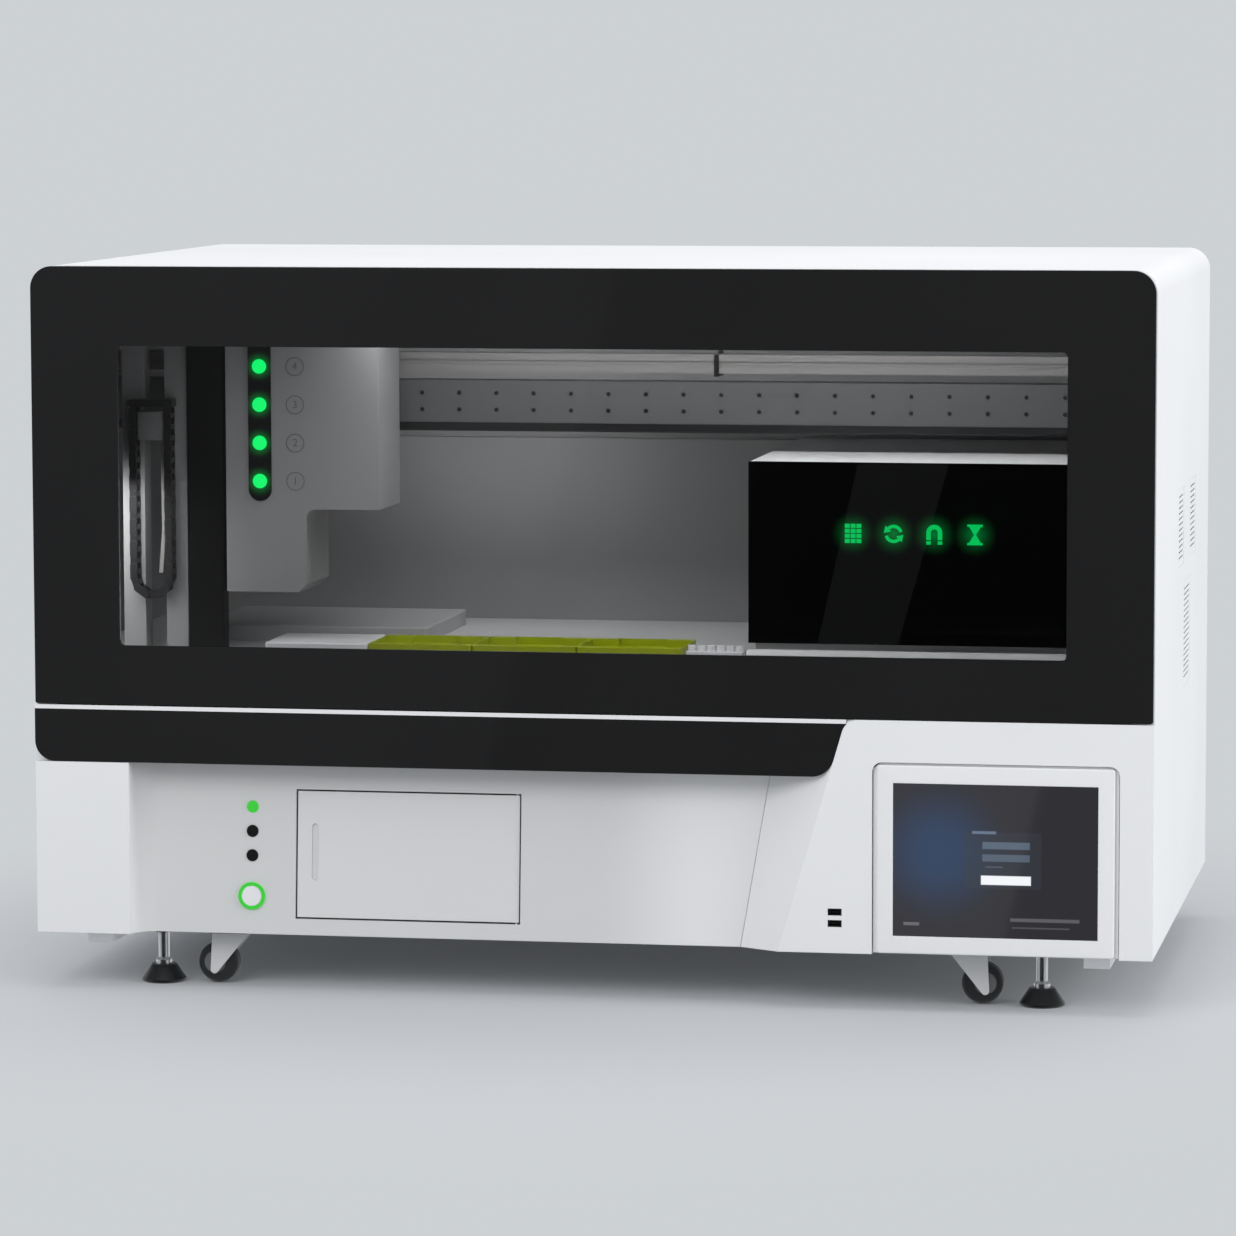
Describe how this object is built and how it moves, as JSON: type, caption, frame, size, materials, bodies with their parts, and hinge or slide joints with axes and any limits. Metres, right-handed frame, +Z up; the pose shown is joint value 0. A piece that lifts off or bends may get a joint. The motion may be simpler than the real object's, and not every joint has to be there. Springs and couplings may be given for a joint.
{
  "type": "nucleic acid extractor",
  "caption": "Bench workstation with a flip-up glazed front, pipetting head on a gantry, plate deck, magnet module and touch screen, on feet and casters.",
  "frame": {"origin": "centre of the footprint on the floor under the levelling feet", "axes": "+X to the right as seen by the operator, along the width; +Y from the front to the rear; +Z up"},
  "size_m": [1.38, 0.84, 0.894],
  "materials": {
    "cover_paint": "satin white powder coat",
    "moulding_white": "satin white moulding",
    "glass_black": "gloss black back-printed panel",
    "glass_clear": "lightly smoked clear pane",
    "trim_silver": "satin anodised",
    "steel_plain": "plain zinc-plated sheet",
    "chamber_grey": "grey satin paint",
    "aluminium_satin": "satin anodised extrusion",
    "black_plastic": "black moulded nylon",
    "black_paint": "black satin paint",
    "carrier_green": "yellow-green anodised look plastic",
    "plate_grey": "light grey plastic",
    "tube_clear": "translucent grey plastic",
    "lamp_lens": "lens, lit green",
    "head_grey": "light grey satin paint",
    "led_green": "lit lens",
    "screen_glass": "display glass",
    "rubber_black": "black rubber",
    "zinc": "zinc plated",
    "light_lens": "opal lens"
  },
  "bodies": {
    "case": {"outer_cover": "cover_paint", "rear_panel": "cover_paint", "base_pan": "steel_plain", "base_rails": "steel_plain", "lower_fascia": "moulding_white", "lower_strip": "glass_black", "trim_line": "trim_silver", "screen_housing": "moulding_white", "usb_ports": "black_plastic", "service_box": "steel_plain", "status_lamps": "lamp_lens", "case_hinge_leaves": "zinc", "chamber_liner": "chamber_grey", "deck_plate": "chamber_grey", "chamber_lights": "light_lens", "plate_carriers": "carrier_green", "blank_plate": "plate_grey", "tray_box": "chamber_grey", "tube_rack": "tube_clear", "module_housing": "chamber_grey", "module_glass": "glass_black", "gantry_beam": "aluminium_satin", "upper_rail": "aluminium_satin", "lower_rail": "black_paint", "column_posts": "aluminium_satin", "column_panel": "black_paint", "cable_chain": "black_plastic", "foot_nuts": "zinc", "caster_plates": "black_paint", "mains_inlet": "black_plastic"},
    "front_door": {"door_border": "glass_black", "door_window": "glass_clear", "door_frame": "black_plastic", "door_hinge_leaves": "zinc"},
    "touch_screen": {"screen_bezel": "moulding_white", "screen_display": "screen_glass"},
    "service_flap": {"service_door": "moulding_white"},
    "power_button": {"power_cap": "moulding_white"},
    "mains_switch": {"mains_rocker": "black_plastic"},
    "carriage": {"x_carriage": "aluminium_satin"},
    "pipetting_head": {"head_cover": "head_grey", "head_frame": "aluminium_satin", "led_strip": "black_plastic", "led_lenses": "led_green"},
    "channel_1": {"nozzle_1": "black_plastic"},
    "channel_2": {"nozzle_2": "black_plastic"},
    "channel_3": {"nozzle_3": "black_plastic"},
    "channel_4": {"nozzle_4": "black_plastic"},
    "foot_front_left": {"foot_front_left": "rubber_black"},
    "caster_front_left": {"fork_front_left": "zinc"},
    "roller_front_left": {"wheel_front_left": "rubber_black"},
    "foot_front_right": {"foot_front_right": "rubber_black"},
    "caster_front_right": {"fork_front_right": "zinc"},
    "roller_front_right": {"wheel_front_right": "rubber_black"},
    "foot_rear_left": {"foot_rear_left": "rubber_black"},
    "caster_rear_left": {"fork_rear_left": "zinc"},
    "roller_rear_left": {"wheel_rear_left": "rubber_black"},
    "foot_rear_right": {"foot_rear_right": "rubber_black"},
    "caster_rear_right": {"fork_rear_right": "zinc"},
    "roller_rear_right": {"wheel_rear_right": "rubber_black"}
  },
  "joints": [
    {"name": "door_lift", "type": "hinge", "parent": "case", "child": "front_door", "pos_m": [0, -0.409, 0.889], "axis": [-1, 0, 0], "range_deg": [0, 85]},
    {"name": "screen_tilt", "type": "hinge", "parent": "case", "child": "touch_screen", "pos_m": [0.501, -0.412, 0.294], "axis": [-1, 0, 0], "range_deg": [0, 25]},
    {"name": "service_swing", "type": "hinge", "parent": "case", "child": "service_flap", "pos_m": [-0.0915, -0.38055, 0.16948], "axis": [0, 0.0746, 0.9972], "range_deg": [0, 100]},
    {"name": "power_press", "type": "slide", "parent": "case", "child": "power_button", "axis": [0, 0.9972, -0.0746], "range_m": [0, 0.003], "stiffness_N_per_m": 800, "springref_m": -0.001},
    {"name": "mains_rock", "type": "hinge", "parent": "case", "child": "mains_switch", "pos_m": [0.52, 0.403, 0.1865], "axis": [0, 0, 1], "range_deg": [-16, 0]},
    {"name": "head_travel_x", "type": "slide", "parent": "case", "child": "carriage", "axis": [1, 0, 0], "range_m": [0, 0.44]},
    {"name": "head_travel_y", "type": "slide", "parent": "carriage", "child": "pipetting_head", "axis": [0, -1, 0], "range_m": [0, 0.06]},
    {"name": "channel_1_drop", "type": "slide", "parent": "pipetting_head", "child": "channel_1", "axis": [0, 0, -1], "range_m": [0, 0.055]},
    {"name": "channel_2_drop", "type": "slide", "parent": "pipetting_head", "child": "channel_2", "axis": [0, 0, -1], "range_m": [0, 0.055]},
    {"name": "channel_3_drop", "type": "slide", "parent": "pipetting_head", "child": "channel_3", "axis": [0, 0, -1], "range_m": [0, 0.055]},
    {"name": "channel_4_drop", "type": "slide", "parent": "pipetting_head", "child": "channel_4", "axis": [0, 0, -1], "range_m": [0, 0.055]},
    {"name": "foot_front_left_level", "type": "slide", "parent": "case", "child": "foot_front_left", "axis": [0, 0, -1], "range_m": [-0.008, 0.012]},
    {"name": "foot_front_right_level", "type": "slide", "parent": "case", "child": "foot_front_right", "axis": [0, 0, -1], "range_m": [-0.008, 0.012]},
    {"name": "foot_rear_left_level", "type": "slide", "parent": "case", "child": "foot_rear_left", "axis": [0, 0, -1], "range_m": [-0.008, 0.012]},
    {"name": "foot_rear_right_level", "type": "slide", "parent": "case", "child": "foot_rear_right", "axis": [0, 0, -1], "range_m": [-0.008, 0.012]},
    {"name": "caster_front_left_swivel", "type": "hinge", "parent": "case", "child": "caster_front_left", "pos_m": [-0.462, -0.34, 0.07], "axis": [0, 0, 1], "continuous": true},
    {"name": "roller_front_left_spin", "type": "hinge", "parent": "caster_front_left", "child": "roller_front_left", "pos_m": [-0.478, -0.34, 0.0265], "axis": [0, 1, 0], "continuous": true},
    {"name": "caster_front_right_swivel", "type": "hinge", "parent": "case", "child": "caster_front_right", "pos_m": [0.462, -0.34, 0.07], "axis": [0, 0, 1], "continuous": true},
    {"name": "roller_front_right_spin", "type": "hinge", "parent": "caster_front_right", "child": "roller_front_right", "pos_m": [0.478, -0.34, 0.0265], "axis": [0, 1, 0], "continuous": true},
    {"name": "caster_rear_left_swivel", "type": "hinge", "parent": "case", "child": "caster_rear_left", "pos_m": [-0.462, 0.34, 0.07], "axis": [0, 0, 1], "continuous": true},
    {"name": "roller_rear_left_spin", "type": "hinge", "parent": "caster_rear_left", "child": "roller_rear_left", "pos_m": [-0.478, 0.34, 0.0265], "axis": [0, 1, 0], "continuous": true},
    {"name": "caster_rear_right_swivel", "type": "hinge", "parent": "case", "child": "caster_rear_right", "pos_m": [0.462, 0.34, 0.07], "axis": [0, 0, 1], "continuous": true},
    {"name": "roller_rear_right_spin", "type": "hinge", "parent": "caster_rear_right", "child": "roller_rear_right", "pos_m": [0.478, 0.34, 0.0265], "axis": [0, 1, 0], "continuous": true}
  ]
}
